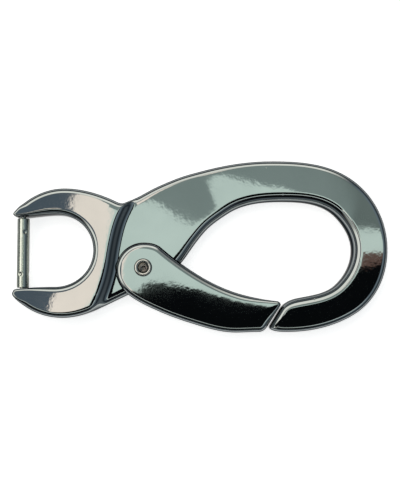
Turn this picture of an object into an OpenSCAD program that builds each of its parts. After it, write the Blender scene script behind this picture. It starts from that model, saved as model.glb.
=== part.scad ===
// Spring-gate snap hook with a spring-bar yoke for a narrow strap.
// The hook lies on its back face: X along it from the yoke to the hook ring,
// Y across it towards the closed side of the ring, Z through its thickness.

/* [Hook] */
// Length over all, which scales the whole outline
hook_l = 60.4; // [54:0.1:68]
// Thickness of the yoke and of the hook ring
hook_t = 5; // [4.6:0.1:6]
// Radius of the outer edges of the casting
outer_edge = 0.7; // [0.4:0.05:0.9]
// Radius of the edges at the prong tips
tip_edge = 0.4; // [0.3:0.05:0.5]
// Radius of the edges along the inside of the hook ring
eye_edge = 1.2; // [0.8:0.05:1.5]
// Radius of the edges at the end of the nose
nose_edge = 1; // [0.6:0.05:1.2]

/* [Tongue and gate] */
// Thickness of the tongue that carries the pivot
tongue_t = 3; // [3:0.05:3.2]
// Farthest reach of the tongue's end from the pivot
tongue_r = 3.5; // [3.45:0.05:3.6]
// Thickness of the gate over its two cheeks
gate_t = 4.7; // [4.5:0.05:5]
// Gap between the tongue and each cheek
cheek_gap = 0.1; // [0.05:0.01:0.15]
// Gap between the gate's web and the tongue's edge
web_gap = 0.4; // [0.3:0.05:0.5]
// Radius of the gate's edges
gate_edge = 0.65; // [0.4:0.05:0.8]

/* [Rivet] */
// Diameter of the shank
rivet_d = 2.2; // [2:0.05:2.3]
// Radial play of the shank in the tongue
rivet_play = 0.04; // [0.02:0.01:0.08]
// Diameter of the flat head at the back
rivet_head_d = 3.4; // [3:0.1:3.8]
// Thickness of the flat head
rivet_head_t = 0.4; // [0.3:0.05:0.45]
// Diameter over the rolled rim at the front
rim_d = 2.9; // [2.7:0.05:3.2]
// Diameter of the hole in the rolled end
rivet_hole_d = 1.6; // [1.4:0.05:1.7]
// Depth of the hole in the rolled end
rivet_hole_l = 2.4; // [1.5:0.1:3]

/* [Gate spring] */
// Diameter of the spring wire
wire_d = 0.4; // [0.34:0.01:0.42]
// Mean diameter of the coil
coil_d = 3.3; // [3.2:0.05:3.4]
// Number of turns
coil_turns = 3; // [2:1:3]
// Diameter of the pocket that holds the coil
pocket_d = 4.2; // [4.1:0.05:4.3]
// Thickness of the tongue's floor below the pocket
pocket_floor = 1.2; // [1:0.05:1.2]

/* [Spring bar] */
// Outside diameter of the bar's tube
bar_d = 2; // [1.8:0.05:2.2]
// Inside diameter of the tube
bar_bore_d = 1.36; // [1.3:0.02:1.4]
// Gap between each end of the tube and the prong
bar_end_gap = 0.15; // [0.1:0.01:0.2]
// Diameter of the point of each tip
tip_d = 0.9; // [0.8:0.05:1]
// Length of the point that sits in the prong
tip_l = 1; // [0.8:0.05:1.1]
// Diameter of the tip's body inside the tube
tip_body_d = 1.26; // [1.2:0.02:1.28]
// Length of the tip's waist, along which the crimp lets it travel
tip_waist_l = 1.4; // [1.3:0.05:1.6]
// Depth of the crimps that keep the tips in
crimp_depth = 0.14; // [0.08:0.01:0.18]

/* [Hidden] */

nominal_l = 60.4;
k = hook_l / nominal_l;
mid_z = hook_t / 2;
eps = 0.01;
edge_steps = 3;
row_steps = 5;
row_n = 7;
side_n = 21;
gate_n = 37;
// Spans of the arm after which it begins to thicken, and has its full thickness
thin_until = 4.7;
full_from = 6.6;
round_fn = 64;
coil_rings = 16;
bar_wire_d = 0.2;
bar_coil_r = 0.45;
bar_turns = 8;
bar_rings = 14;

// Pivot, prong ends, bar and prong faces, in the nominal outline's own millimetres
pivot = [-9.2, -3.4];
prong_x = -30.25;
bar_inset = 1.4;
bar_x = prong_x + bar_inset;
prong_upper_y = 4.8;
prong_lower_y = -6.75;

// An outline node is [x, y, heading in degrees, edge radius]
upper_side = [
    [prong_x + 0.05, 5.2, 88, tip_edge],
    [prong_x + 0.55, 5.95, 52, tip_edge],
    [prong_x + 2.05, 7.3, 37, outer_edge],
    [-22, 9.45, 0, outer_edge],
    [-14.2, 7.6, -24, outer_edge],
];
// Outside of the neck, the arm, the hook ring and the nose
arm_outer = [
    [-14.2, 7.6, -24, outer_edge],
    [-12.8, 7.05, -8, outer_edge],
    [-11.7, 7.4, 24, outer_edge],
    [-10.2, 8.15, 27, outer_edge],
    [-8.1, 9.3, 28, outer_edge],
    [-4.2, 11.05, 22, outer_edge],
    [0.6, 12.5, 14.5, outer_edge],
    [11.3, 13.95, 0, outer_edge],
    [23.6, 11.5, -31, outer_edge],
    [30.15, -0.35, -90, outer_edge],
    [24.6, -11, -149, outer_edge],
    [13.4, -13.75, 179, outer_edge],
    [11.2, -12.6, 58, nose_edge],
];
// Underside of the neck, end of the tongue, inside of the hook ring and the nose
arm_inner = [
    [-16.4, -10, 26, outer_edge],
    [-15, -9.35, 26, outer_edge],
    [-12, -7.9, 26, outer_edge],
    [-6.9, -6.1, 36, outer_edge],
    [-2.1, -1.2, 56, eye_edge],
    [0.6, 2.4, 49, eye_edge],
    [4.45, 5.45, 33, eye_edge],
    [13.3, 7.4, 0, eye_edge],
    [22.1, 4.95, -46, eye_edge],
    [24.6, -0.4, -90, eye_edge],
    [21.95, -6.05, -137, eye_edge],
    [15.5, -8.3, -168, eye_edge],
    [12.8, -10, -122, nose_edge],
];
lower_side = [
    [-16.4, -10, -154, outer_edge],
    [-22.2, -11.5, 180, outer_edge],
    [prong_x + 2.05, -9.65, 145, outer_edge],
    [prong_x + 0.5, -8.4, 134, tip_edge],
    [prong_x, -7.5, 90, tip_edge],
];
strap_slot = [
    [prong_x + 0.25, -7, 45, tip_edge],
    [prong_x + 1.05, prong_lower_y, 6, tip_edge],
    [-23.4, -6.45, 0, outer_edge],
    [-17.3, -0.6, 90, outer_edge],
    [-23.4, 5.25, 180, outer_edge],
    [prong_x + 1.05, prong_upper_y, 184, tip_edge],
    [prong_x + 0.25, 4.9, 145, tip_edge],
];
gate_upper = [
    [-13.43, -2.26, 70, gate_edge],
    [-9.2, 0.7, 0, gate_edge],
    [-6.3, -0.15, -41, gate_edge],
    [0.6, -5.1, -30, gate_edge],
    [6.4, -7.6, -16, gate_edge],
    [12.3, -8.75, -6, tip_edge],
    [12.8, -9.6, -122, tip_edge],
];
gate_lower = [
    [10.8, -12.8, -122, gate_edge],
    [9.4, -13.75, 180, gate_edge],
    [5.4, -13.85, 179, gate_edge],
    [-1.4, -12.4, 163, gate_edge],
    [-6.6, -10.5, 156, gate_edge],
    [-11.6, -7.8, 142, gate_edge],
    [-13.43, -5.34, 110, gate_edge],
];
// Far end of the gate's web, from the pivot, and how far the slot's open sides reach
slot_far = [10.6, -1.8];
slot_reach = 12;
// Where the web leaves the round of the slot: shares of its radius, and degrees past the tangent
web_corner = [[1.03, -4], [0.8, -12]];
// Slope of the neck's lower edge, and its distance from the pivot
neck_slope = 26.6;
neck_edge = 2.75;

// Point at u along the cubic that joins node a to node b on their headings
function bend_point(a, b, u) =
    let (
        start = [a.x, a.y],
        end = [b.x, b.y],
        turn = (b[2] - a[2] + 540) % 360 - 180,
        reach = norm(end - start) / (3 * pow(cos(turn / 4), 2)),
        leave = start + reach * [cos(a[2]), sin(a[2])],
        arrive = end - reach * [cos(b[2]), sin(b[2])]
    )
    pow(1 - u, 3) * start + 3 * u * pow(1 - u, 2) * leave
    + 3 * u * u * (1 - u) * arrive + pow(u, 3) * end;

function smooth(u) = u <= 0 ? 0 : u >= 1 ? 1 : u * u * (3 - 2 * u);

// Count points along an open chain of nodes, each [x, y, edge radius]
function trace(nodes, count) = [
    for (i = [0:count - 1])
        let (
            at = i * (len(nodes) - 1) / (count - 1),
            span = min(floor(at), len(nodes) - 2),
            a = nodes[span],
            b = nodes[span + 1],
            p = k * bend_point(a, b, at - span)
        )
        [p.x, p.y, a[3] + (b[3] - a[3]) * smooth(at - span)]
];

function reversed(list) = [for (i = [len(list) - 1:-1:0]) list[i]];
function ends_off(list) = [for (i = [1:len(list) - 2]) list[i]];
// Points of an outline with the half thickness there
function thick(points, half_t) = [for (p = points) [p.x, p.y, min(p[2], 0.8 * half_t), half_t]];

// Inward normals of a clockwise outline
function inward_normals(outline) = [
    for (i = [0:len(outline) - 1])
        let (
            n = len(outline),
            after = outline[(i + 1) % n],
            before = outline[(i + n - 1) % n],
            d = [after.x - before.x, after.y - before.y]
        )
        [d.y, -d.x] / norm(d)
];

// One ring of a casting: the edge arc at angle a, from 0 at the side wall to 90 on the face
function cast_ring(outline, normals, a, side) = [
    for (i = [0:len(outline) - 1])
        let (r = outline[i][2], inset = r * (1 - cos(a)))
        [
            outline[i].x + normals[i].x * inset,
            outline[i].y + normals[i].y * inset,
            mid_z + side * (outline[i][3] - r * (1 - sin(a))),
        ]
];

// Rings from the back face round both edges to the front face
function cast_rings(outline) =
    let (normals = inward_normals(outline))
    [
        for (e = [edge_steps:-1:0]) cast_ring(outline, normals, 90 * e / edge_steps, -1),
        for (e = [0:edge_steps]) cast_ring(outline, normals, 90 * e / edge_steps, 1),
    ];

// Two triangles for each four-sided face
function triangles(quads) = [for (q = quads) each [[q[0], q[1], q[2]], [q[0], q[2], q[3]]]];

// Faces of the wall through rings of n points each
function wall_faces(rings, n) = triangles([
    for (r = [0:rings - 2], i = [0:n - 1])
        [r * n + i, r * n + (i + 1) % n, (r + 1) * n + (i + 1) % n, (r + 1) * n + i]
]);

// Closed solid through rings that each have the same number of points, with flat ends
module skin(rings) {
    n = len(rings[0]);
    polyhedron(
        points = [for (ring = rings) each ring],
        faces = [
            [for (i = [n - 1:-1:0]) i],
            each wall_faces(len(rings), n),
            [for (i = [0:n - 1]) (len(rings) - 1) * n + i],
        ]
    );
}

// Closed casting from its outline, the points across each face as [from, to, share of the way],
// and the four-sided faces of one side for the first index of its ring and of its inner points
module casting(outline, across, face_quads) {
    n = len(outline);
    rings = cast_rings(outline);
    back = rings[0];
    front = rings[len(rings) - 1];
    front_0 = len(rings) * n;
    polyhedron(
        points = [
            for (ring = rings) each ring,
            for (w = across) front[w[0]] + (front[w[1]] - front[w[0]]) * w[2],
            for (w = across) back[w[0]] + (back[w[1]] - back[w[0]]) * w[2],
        ],
        faces = [
            each wall_faces(len(rings), n),
            each triangles(face_quads(front_0 - n, front_0)),
            for (f = triangles(face_quads(0, front_0 + len(across)))) reversed(f),
        ]
    );
}

// Half thickness of the casting at a row across the arm, counted in spans of its nodes
function row_half(at) =
    let (thin = tongue_t / 2, full = hook_t / 2)
    at < 1 ? full - (full - thin) * (1 - sqrt(1 - at * at))
    : thin + (full - thin) * smooth((at - thin_until) / (full_from - thin_until));

// Yoke, neck, tongue, arm, hook ring and nose as one closed casting
module body_casting() {
    spans = len(arm_outer) - 1;
    rows = spans * row_steps;
    full = hook_t / 2;
    outer = trace(arm_outer, rows + 1);
    inner = trace(arm_inner, rows + 1);
    halves = [for (i = [0:rows]) row_half(i / row_steps)];
    outline = [
        each thick(trace(upper_side, side_n), full),
        for (i = [1:rows]) thick([outer[i]], halves[i])[0],
        for (j = [1:row_n]) thick([outer[rows] + (inner[rows] - outer[rows]) * j / (row_n + 1)], full)[0],
        for (i = [rows:-1:1]) thick([inner[i]], halves[i])[0],
        each thick(trace(lower_side, side_n), full),
        each thick(trace(strap_slot, 2 * side_n + row_n), full),
    ];
    n = len(outline);
    inner_0 = side_n + 2 * rows + row_n;

    // Index of point j of row r on one face, from the outer edge to the inner edge
    function row_point(r, j, ring_0, face_0) =
        j == 0 ? ring_0 + side_n - 1 + r
        : j == row_n + 1 ? ring_0 + inner_0 - r
        : r == rows ? ring_0 + side_n + rows - 1 + j
        : face_0 + r * row_n + j - 1;
    // Index of point q along the yoke's outside, whose middle is the first row
    function yoke_point(q, ring_0, face_0) =
        q < side_n ? ring_0 + q
        : q < side_n + row_n ? row_point(0, q - side_n + 1, ring_0, face_0)
        : ring_0 + inner_0 + q - side_n - row_n;
    casting(
        outline,
        [for (r = [0:rows - 1], j = [1:row_n]) [side_n - 1 + r, inner_0 - r, j / (row_n + 1)]],
        function (ring_0, face_0) [
            for (r = [0:rows - 1], j = [0:row_n]) [
                row_point(r, j, ring_0, face_0), row_point(r + 1, j, ring_0, face_0),
                row_point(r + 1, j + 1, ring_0, face_0), row_point(r, j + 1, ring_0, face_0),
            ],
            for (q = [0:2 * side_n + row_n - 2]) [
                yoke_point(q, ring_0, face_0), yoke_point(q + 1, ring_0, face_0),
                ring_0 + n - 2 - q, ring_0 + n - 1 - q,
            ],
        ]
    );
}

// Wire of round section along a list of points that winds round an axis
module wire(path, d, axis, sides) {
    last = len(path) - 1;
    skin([
        for (i = [0:last])
            let (
                t = path[min(i + 1, last)] - path[max(i - 1, 0)],
                side = cross(axis, t) / norm(cross(axis, t)),
                up = cross(t, side) / norm(t)
            )
            [for (s = [0:sides - 1]) path[i] + d / 2 * (cos(360 * s / sides) * side + sin(360 * s / sides) * up)]
    ]);
}

module at_pivot(z) {
    translate([k * pivot.x, k * pivot.y, z]) children();
}

// Cylinder from one height to another on the pivot's axis
module pivot_cylinder(d, from_z, to_z) {
    at_pivot(from_z) cylinder(d = d, h = to_z - from_z, $fn = round_fn);
}

tongue_z = mid_z - tongue_t / 2;
tongue_top = mid_z + tongue_t / 2;
gate_z = mid_z - gate_t / 2;
gate_top = mid_z + gate_t / 2;
slot_z = tongue_z - cheek_gap;
slot_top = tongue_top + cheek_gap;
pocket_z = tongue_z + pocket_floor;
// The flat head stands this far out of the gate's back
head_proud = 0.1;
head_top = gate_z + rivet_head_t - head_proud;

// The free leg leaves the coil at leg_start and pushes on the gate's web, which sweeps
// the window from window_from to window_to, and the fixed leg lies in its channel
leg_start = -110;
leg_l = 3.4;
anchor_l = 3;
coil_gap = 0.03;
window_from = -84;
window_to = 14;
window_r = 8.4;
channel_play = 0.12;

// Pocket for the coil, with the window for the free leg and the channel for the fixed one
module spring_pocket() {
    channel_w = wire_d + 2 * channel_play;
    pivot_cylinder(pocket_d, pocket_z, tongue_top + eps);
    at_pivot(pocket_z) linear_extrude(hook_t) polygon([
        [0, 0],
        for (i = [0:3])
            let (a = window_from + (window_to - window_from) * i / 3)
            window_r * [cos(a), sin(a)],
    ]);
    at_pivot(pocket_z) rotate(leg_start + 270)
        translate([0, (coil_d - channel_w) / 2, 0])
            cube([anchor_l + channel_play, channel_w, tongue_t]);
}

module hook_body() {
    color("#9aa6a6")
    difference() {
        body_casting();
        spring_pocket();
        pivot_cylinder(rivet_d + 2 * rivet_play, -eps, hook_t);
        for (face_y = [prong_upper_y - tip_l - eps, prong_lower_y - tip_l - eps])
            translate([k * bar_x, k * face_y, mid_z]) rotate([-90, 0, 0])
                cylinder(d = tip_d + 2 * rivet_play, h = 2 * tip_l, $fn = round_fn);
    }
}

// Solid form of the gate, before its slot and bores
module gate_casting() {
    outline = thick([
        each trace(gate_upper, gate_n),
        each ends_off(trace([gate_upper[len(gate_upper) - 1], gate_lower[0]], row_n + 2)),
        each trace(gate_lower, gate_n),
        each ends_off(trace([gate_lower[len(gate_lower) - 1], gate_upper[0]], row_n + 2)),
    ], gate_t / 2);
    n = len(outline);
    lower_0 = 2 * gate_n + row_n - 1;

    // Index of point j of row r on one face, from the upper edge to the lower edge
    function row_point(r, j, ring_0, face_0) =
        j == 0 ? ring_0 + r
        : j == row_n + 1 ? ring_0 + lower_0 - r
        : r == 0 ? ring_0 + n - j
        : r == gate_n - 1 ? ring_0 + gate_n - 1 + j
        : face_0 + (r - 1) * row_n + j - 1;
    casting(
        outline,
        [for (r = [1:gate_n - 2], j = [1:row_n]) [r, lower_0 - r, j / (row_n + 1)]],
        function (ring_0, face_0) [
            for (r = [0:gate_n - 2], j = [0:row_n]) [
                row_point(r, j, ring_0, face_0), row_point(r + 1, j, ring_0, face_0),
                row_point(r + 1, j + 1, ring_0, face_0), row_point(r, j + 1, ring_0, face_0),
            ],
        ]
    );
}

// Slot between the cheeks, open towards the neck and the arm
module gate_slot() {
    inner_r = tongue_r + web_gap;
    web_start = atan2(slot_far.y, slot_far.x) - acos(inner_r / norm(slot_far));
    foot = (neck_edge + web_gap) * [sin(neck_slope), -cos(neck_slope)];
    away = foot - slot_reach * [cos(neck_slope), sin(neck_slope)];
    at_pivot(slot_z) linear_extrude(slot_top - slot_z) polygon([
        foot, away, [-slot_reach, slot_reach], [slot_reach, slot_reach], slot_far,
        for (w = web_corner) w[0] * inner_r * [cos(web_start + w[1]), sin(web_start + w[1])],
    ]);
    pivot_cylinder(2 * inner_r, slot_z, slot_top);
}

module gate() {
    color("#8c9494")
    difference() {
        gate_casting();
        gate_slot();
        pivot_cylinder(rivet_d, -eps, hook_t + eps);
        pivot_cylinder(rivet_head_d + 2 * rivet_play, -eps, head_top);
    }
}

module pivot_rivet() {
    rim_w = (rim_d - rivet_hole_d) / 2;
    color("#c8cccc")
    difference() {
        union() {
            pivot_cylinder(rivet_head_d, head_top - rivet_head_t, head_top);
            pivot_cylinder(rivet_d, head_top - eps, gate_top + eps);
            at_pivot(gate_top) rotate_extrude($fn = round_fn) intersection() {
                translate([(rim_d - rim_w) / 2, 0]) circle(d = rim_w, $fn = round_fn);
                square([rim_d, rim_w]);
            }
        }
        pivot_cylinder(rivet_hole_d, gate_top - rivet_hole_l, hook_t + 1);
    }
}

module gate_spring() {
    coil_r = coil_d / 2;
    rise = (tongue_top - pocket_z - wire_d - 2 * coil_gap) / coil_turns;
    base_z = pocket_z + wire_d / 2 + coil_gap;
    top_z = base_z + rise * coil_turns;
    on_coil = coil_r * [cos(leg_start), sin(leg_start)];
    along = [-sin(leg_start), cos(leg_start)];
    anchor_end = on_coil - anchor_l * along;
    leg_end = on_coil + leg_l * along;
    color("#b8b8b0")
    at_pivot(0) wire(concat(
        [[anchor_end.x, anchor_end.y, base_z]],
        [for (i = [0:coil_turns * coil_rings])
            let (a = leg_start + 360 * i / coil_rings)
            [coil_r * cos(a), coil_r * sin(a), base_z + rise * i / coil_rings]],
        [[leg_end.x, leg_end.y, top_z]]
    ), wire_d, [0, 0, 1], 8);
}

bar_mid_y = k * (prong_upper_y + prong_lower_y) / 2;
tube_l = k * (prong_upper_y - prong_lower_y) - 2 * bar_end_gap;
shoulder_l = 1;
collar_l = 0.5;
tip_body_l = shoulder_l + tip_waist_l + collar_l;
// The shoulder sits this deep in the tube, and the point stops this short of its hole's end
shoulder_depth = 0.1;
point_gap = 0.05;
point_chamfer = 0.15;
waist_step = 0.18;
spring_gap = 0.12;
// Round dents that keep the tips in, and how each end's dents are turned about the bar
dent_r = 0.4;
dent_fn = 24;
dent_from_end = shoulder_l + tip_waist_l - 0.2;
upper_turn = -65;
lower_turn = -115;

// Places a part that is drawn along Z from the bar's middle onto the bar's axis
module on_bar() {
    translate([k * bar_x, bar_mid_y, mid_z]) rotate([-90, 0, 0]) children();
}

// Three dents at one end of the tube
module crimps(end, turn) {
    for (a = [0, 120, 240])
        rotate(a + turn)
            translate([bar_d / 2 + dent_r - crimp_depth, 0, end * (tube_l / 2 - dent_from_end)])
                sphere(r = dent_r, $fn = dent_fn);
}

module bar_tube() {
    color("#c4c8c4")
    on_bar() difference() {
        cylinder(d = bar_d, h = tube_l, center = true, $fn = round_fn);
        cylinder(d = bar_bore_d, h = tube_l + 1, center = true, $fn = round_fn);
        crimps(1, upper_turn);
        crimps(-1, lower_turn);
    }
}

// Stepped tip that points along +Z, with its shoulder just inside the tube's end
module bar_tip() {
    body_r = tip_body_d / 2;
    waist_r = body_r - waist_step;
    point_r = tip_d / 2;
    point_l = tip_l + bar_end_gap - point_gap;
    translate([0, 0, tube_l / 2]) rotate_extrude($fn = round_fn) polygon([
        [0, -tip_body_l],
        [body_r, -tip_body_l],
        [body_r, -tip_body_l + collar_l],
        [waist_r, -tip_body_l + collar_l],
        [waist_r, -shoulder_l],
        [body_r, -shoulder_l],
        [body_r, -shoulder_depth],
        [point_r, -shoulder_depth],
        [point_r, point_l - point_chamfer],
        [point_r - point_chamfer, point_l],
        [0, point_l],
    ]);
}

module bar_tip_upper() {
    color("#a8aca8") on_bar() bar_tip();
}

module bar_tip_lower() {
    color("#a8aca8") on_bar() mirror([0, 0, 1]) bar_tip();
}

module bar_spring() {
    spring_l = tube_l - 2 * (tip_body_l + spring_gap) - bar_wire_d;
    rings = bar_turns * bar_rings;
    color("#b0b0a8")
    on_bar() wire([
        for (i = [0:rings])
            let (a = 360 * i / bar_rings)
            [bar_coil_r * cos(a), bar_coil_r * sin(a), spring_l * (i / rings - 0.5)]
    ], bar_wire_d, [0, 0, 1], 6);
}

hook_body();
gate();
pivot_rivet();
gate_spring();
bar_tube();
bar_tip_upper();
bar_tip_lower();
bar_spring();
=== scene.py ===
import math

import bmesh
import bpy
import numpy as np
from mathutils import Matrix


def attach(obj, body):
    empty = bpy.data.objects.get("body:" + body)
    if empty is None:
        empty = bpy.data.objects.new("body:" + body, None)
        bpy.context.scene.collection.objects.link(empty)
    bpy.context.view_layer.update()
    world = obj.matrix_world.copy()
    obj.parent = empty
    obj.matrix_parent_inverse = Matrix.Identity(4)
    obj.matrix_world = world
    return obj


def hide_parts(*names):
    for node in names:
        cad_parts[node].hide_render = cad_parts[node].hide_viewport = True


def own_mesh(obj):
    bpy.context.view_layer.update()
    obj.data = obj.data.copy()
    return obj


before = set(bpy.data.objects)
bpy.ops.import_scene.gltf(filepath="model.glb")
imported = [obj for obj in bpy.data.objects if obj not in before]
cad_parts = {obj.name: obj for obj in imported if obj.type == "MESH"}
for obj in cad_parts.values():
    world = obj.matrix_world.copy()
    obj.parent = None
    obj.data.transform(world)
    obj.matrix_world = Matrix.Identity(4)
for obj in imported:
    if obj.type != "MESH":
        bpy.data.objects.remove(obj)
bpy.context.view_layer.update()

# ---------------------------------------------------------------- hook body
# The hook's one main casting: yoke, neck, tongue, arm, hook ring and nose.
# Zinc alloy, die cast, tumbled smooth and bright plated all over; the spring's
# pocket, the rivet's bore and the two holes for the spring bar are cut into it.
MM = 0.001
HOOK_T = 5.0
TONGUE_T = 3.0
MID_Z = HOOK_T / 2
OUTER_EDGE = 0.85
TIP_EDGE = 0.4
EYE_EDGE = 1.3
NOSE_EDGE = 1.0
PIVOT = (-9.2, -3.4)

# An outline node is x, y, heading in degrees and edge radius.
UPPER_SIDE = [
    (-30.2, 5.2, 88, TIP_EDGE),
    (-29.7, 5.95, 52, TIP_EDGE),
    (-28.2, 7.3, 37, OUTER_EDGE),
    (-22, 9.45, 0, OUTER_EDGE),
    (-14.2, 7.6, -24, OUTER_EDGE),
]
ARM_OUTER = [
    (-14.2, 7.6, -24, OUTER_EDGE),
    (-12.8, 7.05, -8, OUTER_EDGE),
    (-11.7, 7.4, 24, OUTER_EDGE),
    (-10.2, 8.15, 27, OUTER_EDGE),
    (-8.1, 9.3, 28, OUTER_EDGE),
    (-4.2, 11.05, 22, OUTER_EDGE),
    (0.6, 12.5, 14.5, OUTER_EDGE),
    (11.3, 13.95, 0, OUTER_EDGE),
    (23.6, 11.5, -31, OUTER_EDGE),
    (30.15, -0.35, -90, OUTER_EDGE),
    (24.6, -11, -149, OUTER_EDGE),
    (13.4, -13.75, 179, OUTER_EDGE),
    (11.2, -12.6, 58, NOSE_EDGE),
]
ARM_INNER = [
    (-16.4, -10, 26, OUTER_EDGE),
    (-15, -9.35, 26, OUTER_EDGE),
    (-12, -7.9, 26, OUTER_EDGE),
    (-6.9, -6.1, 36, OUTER_EDGE),
    (-2.1, -1.2, 56, EYE_EDGE),
    (0.6, 2.4, 49, EYE_EDGE),
    (4.45, 5.45, 33, EYE_EDGE),
    (13.3, 7.4, 0, EYE_EDGE),
    (22.1, 4.95, -46, EYE_EDGE),
    (24.6, -0.4, -90, EYE_EDGE),
    (21.95, -6.05, -137, EYE_EDGE),
    (15.5, -8.3, -168, EYE_EDGE),
    (12.8, -10, -122, NOSE_EDGE),
]
LOWER_SIDE = [
    (-16.4, -10, -154, OUTER_EDGE),
    (-22.2, -11.5, 180, OUTER_EDGE),
    (-28.2, -9.65, 145, OUTER_EDGE),
    (-29.75, -8.4, 134, TIP_EDGE),
    (-30.25, -7.5, 90, TIP_EDGE),
]
STRAP_SLOT = [
    (-30, -7, 45, TIP_EDGE),
    (-29.2, -6.75, 6, TIP_EDGE),
    (-23.4, -6.45, 0, OUTER_EDGE),
    (-17.3, -0.6, 90, OUTER_EDGE),
    (-23.4, 5.25, 180, OUTER_EDGE),
    (-29.2, 4.8, 184, TIP_EDGE),
    (-30, 4.9, 145, TIP_EDGE),
]
ROW_STEPS = 18
ACROSS = 25
EDGE_STEPS = 9
# Each wall stands in from the parting line at its middle by the mould's draft.
DRAFT = 0.03
# Tumbling leaves the faces a little lower near their edges: by how much, and how far in it reaches.
BODY_CROWN = (0.03, 0.6)
# Line down the middle of the ramp where the full thickness of the yoke falls to the tongue's.
SHOULDER = [
    (-10.9, 8.4, -114, 0),
    (-13.1, 3.5, -107, 0),
    (-14.3, -2.5, -98, 0),
    (-17, -10.6, -118, 0),
]
SHOULDER_W = 2.5
# The arm thickens evenly between these two ways along its middle from the yoke.
THIN_UNTIL = 20
FULL_FROM = 45
SOFT_END = 0.05


def trace(nodes, steps):
    """Rows of x, y and edge radius along a chain of outline nodes, with that many steps a span."""
    u = np.linspace(0, 1, steps, endpoint=False)[:, None]
    spans = []
    for (ax, ay, ah, ar), (bx, by, bh, br) in zip(nodes, nodes[1:]):
        start, end = np.array([ax, ay]), np.array([bx, by])
        turn = (bh - ah + 540) % 360 - 180
        reach = np.linalg.norm(end - start) / (3 * math.cos(math.radians(turn / 4)) ** 2)
        leave = start + reach * np.array([math.cos(math.radians(ah)), math.sin(math.radians(ah))])
        arrive = end - reach * np.array([math.cos(math.radians(bh)), math.sin(math.radians(bh))])
        path = (1 - u) ** 3 * start + 3 * u * (1 - u) ** 2 * leave
        path = path + 3 * u**2 * (1 - u) * arrive + u**3 * end
        spans.append(np.hstack([path, ar + (br - ar) * u * u * (3 - 2 * u)]))
    last = nodes[-1]
    return np.vstack(spans + [[[last[0], last[1], last[3]]]])


def crown_drop(depth, crown):
    """How far a face has dropped at a depth in from its outline."""
    drop, reach = crown
    return drop * np.exp(-depth / reach)


def depth_in(points, outline):
    """Shortest way from each point to the outline."""
    starts, ends = outline[:, :2], np.roll(outline[:, :2], -1, axis=0)
    along = ends - starts
    length = (along**2).sum(axis=1)
    nearest = np.full(len(points), 1e9)
    for first in range(0, len(points), 500):
        some = points[first : first + 500, None, :] - starts[None]
        share = np.clip((some * along).sum(axis=2) / length, 0, 1)
        gap = some - share[:, :, None] * along[None]
        nearest[first : first + 500] = np.sqrt((gap**2).sum(axis=2)).min(axis=1)
    return nearest


def piece_from(name, verts, faces):
    """A closed, smooth-shaded piece from vertices in millimetres, with its doubles merged."""
    mesh = bpy.data.meshes.new(name)
    mesh.from_pydata([tuple(MM * c for c in v) for v in verts], [], faces)
    work = bmesh.new()
    work.from_mesh(mesh)
    bmesh.ops.remove_doubles(work, verts=work.verts, dist=0.002 * MM)
    bmesh.ops.dissolve_degenerate(work, edges=work.edges, dist=0.001 * MM)
    bmesh.ops.recalc_face_normals(work, faces=work.faces)
    work.to_mesh(mesh)
    work.free()
    mesh.shade_smooth()
    piece = bpy.data.objects.new(name, mesh)
    bpy.context.scene.collection.objects.link(piece)
    return piece


def casting(name, outline, half_at, patches, crown):
    """A cast plate: its outline's walls and rounded edges, and on both sides the same face patches."""
    n = len(outline)
    after, before = np.roll(outline[:, :2], -1, axis=0), np.roll(outline[:, :2], 1, axis=0)
    way = after - before
    way = way / np.linalg.norm(way, axis=1)[:, None]
    inward = np.stack([way[:, 1], -way[:, 0]], axis=1)
    radius = np.minimum(outline[:, 2], 0.8 * half_at(outline[:, 0], outline[:, 1]))

    def ring(angle, side):
        depth = DRAFT + radius * (1 - math.cos(angle))
        x, y = (outline[:, :2] + inward * depth[:, None]).T
        level = half_at(x, y) - radius * (1 - math.sin(angle)) - crown_drop(depth, crown)
        return np.column_stack([x, y, MID_Z + side * level])

    angles = [math.pi / 2 * e / EDGE_STEPS for e in range(EDGE_STEPS + 1)]
    parting = np.column_stack([outline[:, :2], np.full(n, MID_Z)])
    rings = [ring(a, -1) for a in reversed(angles)] + [parting] + [ring(a, 1) for a in angles]
    verts = [v for r in rings for v in r]
    faces = []
    for r in range(len(rings) - 1):
        for i in range(n):
            j = (i + 1) % n
            faces.append((r * n + i, r * n + j, (r + 1) * n + j, (r + 1) * n + i))
    for side, edge in ((-1, rings[0]), (1, rings[-1])):
        for grid, grid_half in patches(edge):
            rows, columns = grid.shape[:2]
            flat = grid.reshape(-1, 3).copy()
            inner = np.isnan(flat[:, 2])
            depth = depth_in(flat[inner, :2], outline)
            flat[inner, 2] = MID_Z + side * (grid_half.reshape(-1)[inner] - crown_drop(depth, crown))
            first = len(verts)
            verts.extend(flat)
            for r in range(rows - 1):
                for c in range(columns - 1):
                    at = first + r * columns + c
                    faces.append((at, at + 1, at + columns + 1, at + columns))
    return piece_from(name, verts, faces)


def between(start, end, count):
    """Count points from start to end; the ones between have their height left open."""
    share = np.linspace(0, 1, count)[:, None]
    row = start + (end - start) * share
    row[1:-1, 2] = np.nan
    return row


def thickness(x, y, rise):
    """Half thickness of the hook's casting at a point, with its arm's share of the full thickness."""
    line = trace(SHOULDER, 40)[::-1]
    past = np.clip((x - np.interp(y, line[:, 1], line[:, 0])) / SHOULDER_W + 0.5, 0, 1)
    shoulder = 1 - past**3 * (10 - 15 * past + 6 * past**2)
    full, thin = HOOK_T / 2, TONGUE_T / 2
    return thin + (full - thin) * np.maximum(shoulder, rise)


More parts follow.
